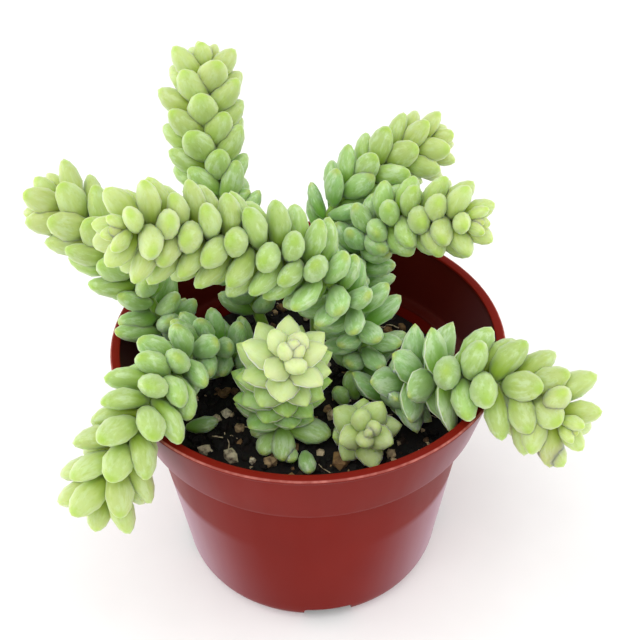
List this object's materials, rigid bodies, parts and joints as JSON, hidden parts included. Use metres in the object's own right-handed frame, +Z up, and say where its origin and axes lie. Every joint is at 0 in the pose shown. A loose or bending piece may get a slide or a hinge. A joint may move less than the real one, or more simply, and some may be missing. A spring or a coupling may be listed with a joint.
{
  "type": "potted burro's tail plant",
  "caption": "Young burro's tail succulent in a tapered plastic nursery pot, with plump-leaved shoots that stand up from the soil and arch over the rim.",
  "frame": {"origin": "centre of the pot's flat underside, where it rests", "axes": "+Z up along the pot's axis, -Y towards the front, where the shoots' rosettes face, +X to the right seen from the front"},
  "size_m": [0.1509, 0.1151, 0.1429],
  "materials": {
    "pot": "satin",
    "soil": "matte",
    "leaf": "satin",
    "fallen_leaf": "satin"
  },
  "bodies": {
    "root": {"pot": "pot", "soil": "soil", "shoot_arch": "leaf", "shoot_back_left": "leaf", "shoot_left": "leaf", "shoot_back_right": "leaf", "shoot_right": "leaf", "shoot_front_left": "leaf", "shoot_centre": "leaf", "shoot_small": "leaf", "shoot_front_right": "leaf", "fallen_leaf_left": "fallen_leaf", "fallen_leaf_front": "fallen_leaf"}
  },
  "joints": []
}
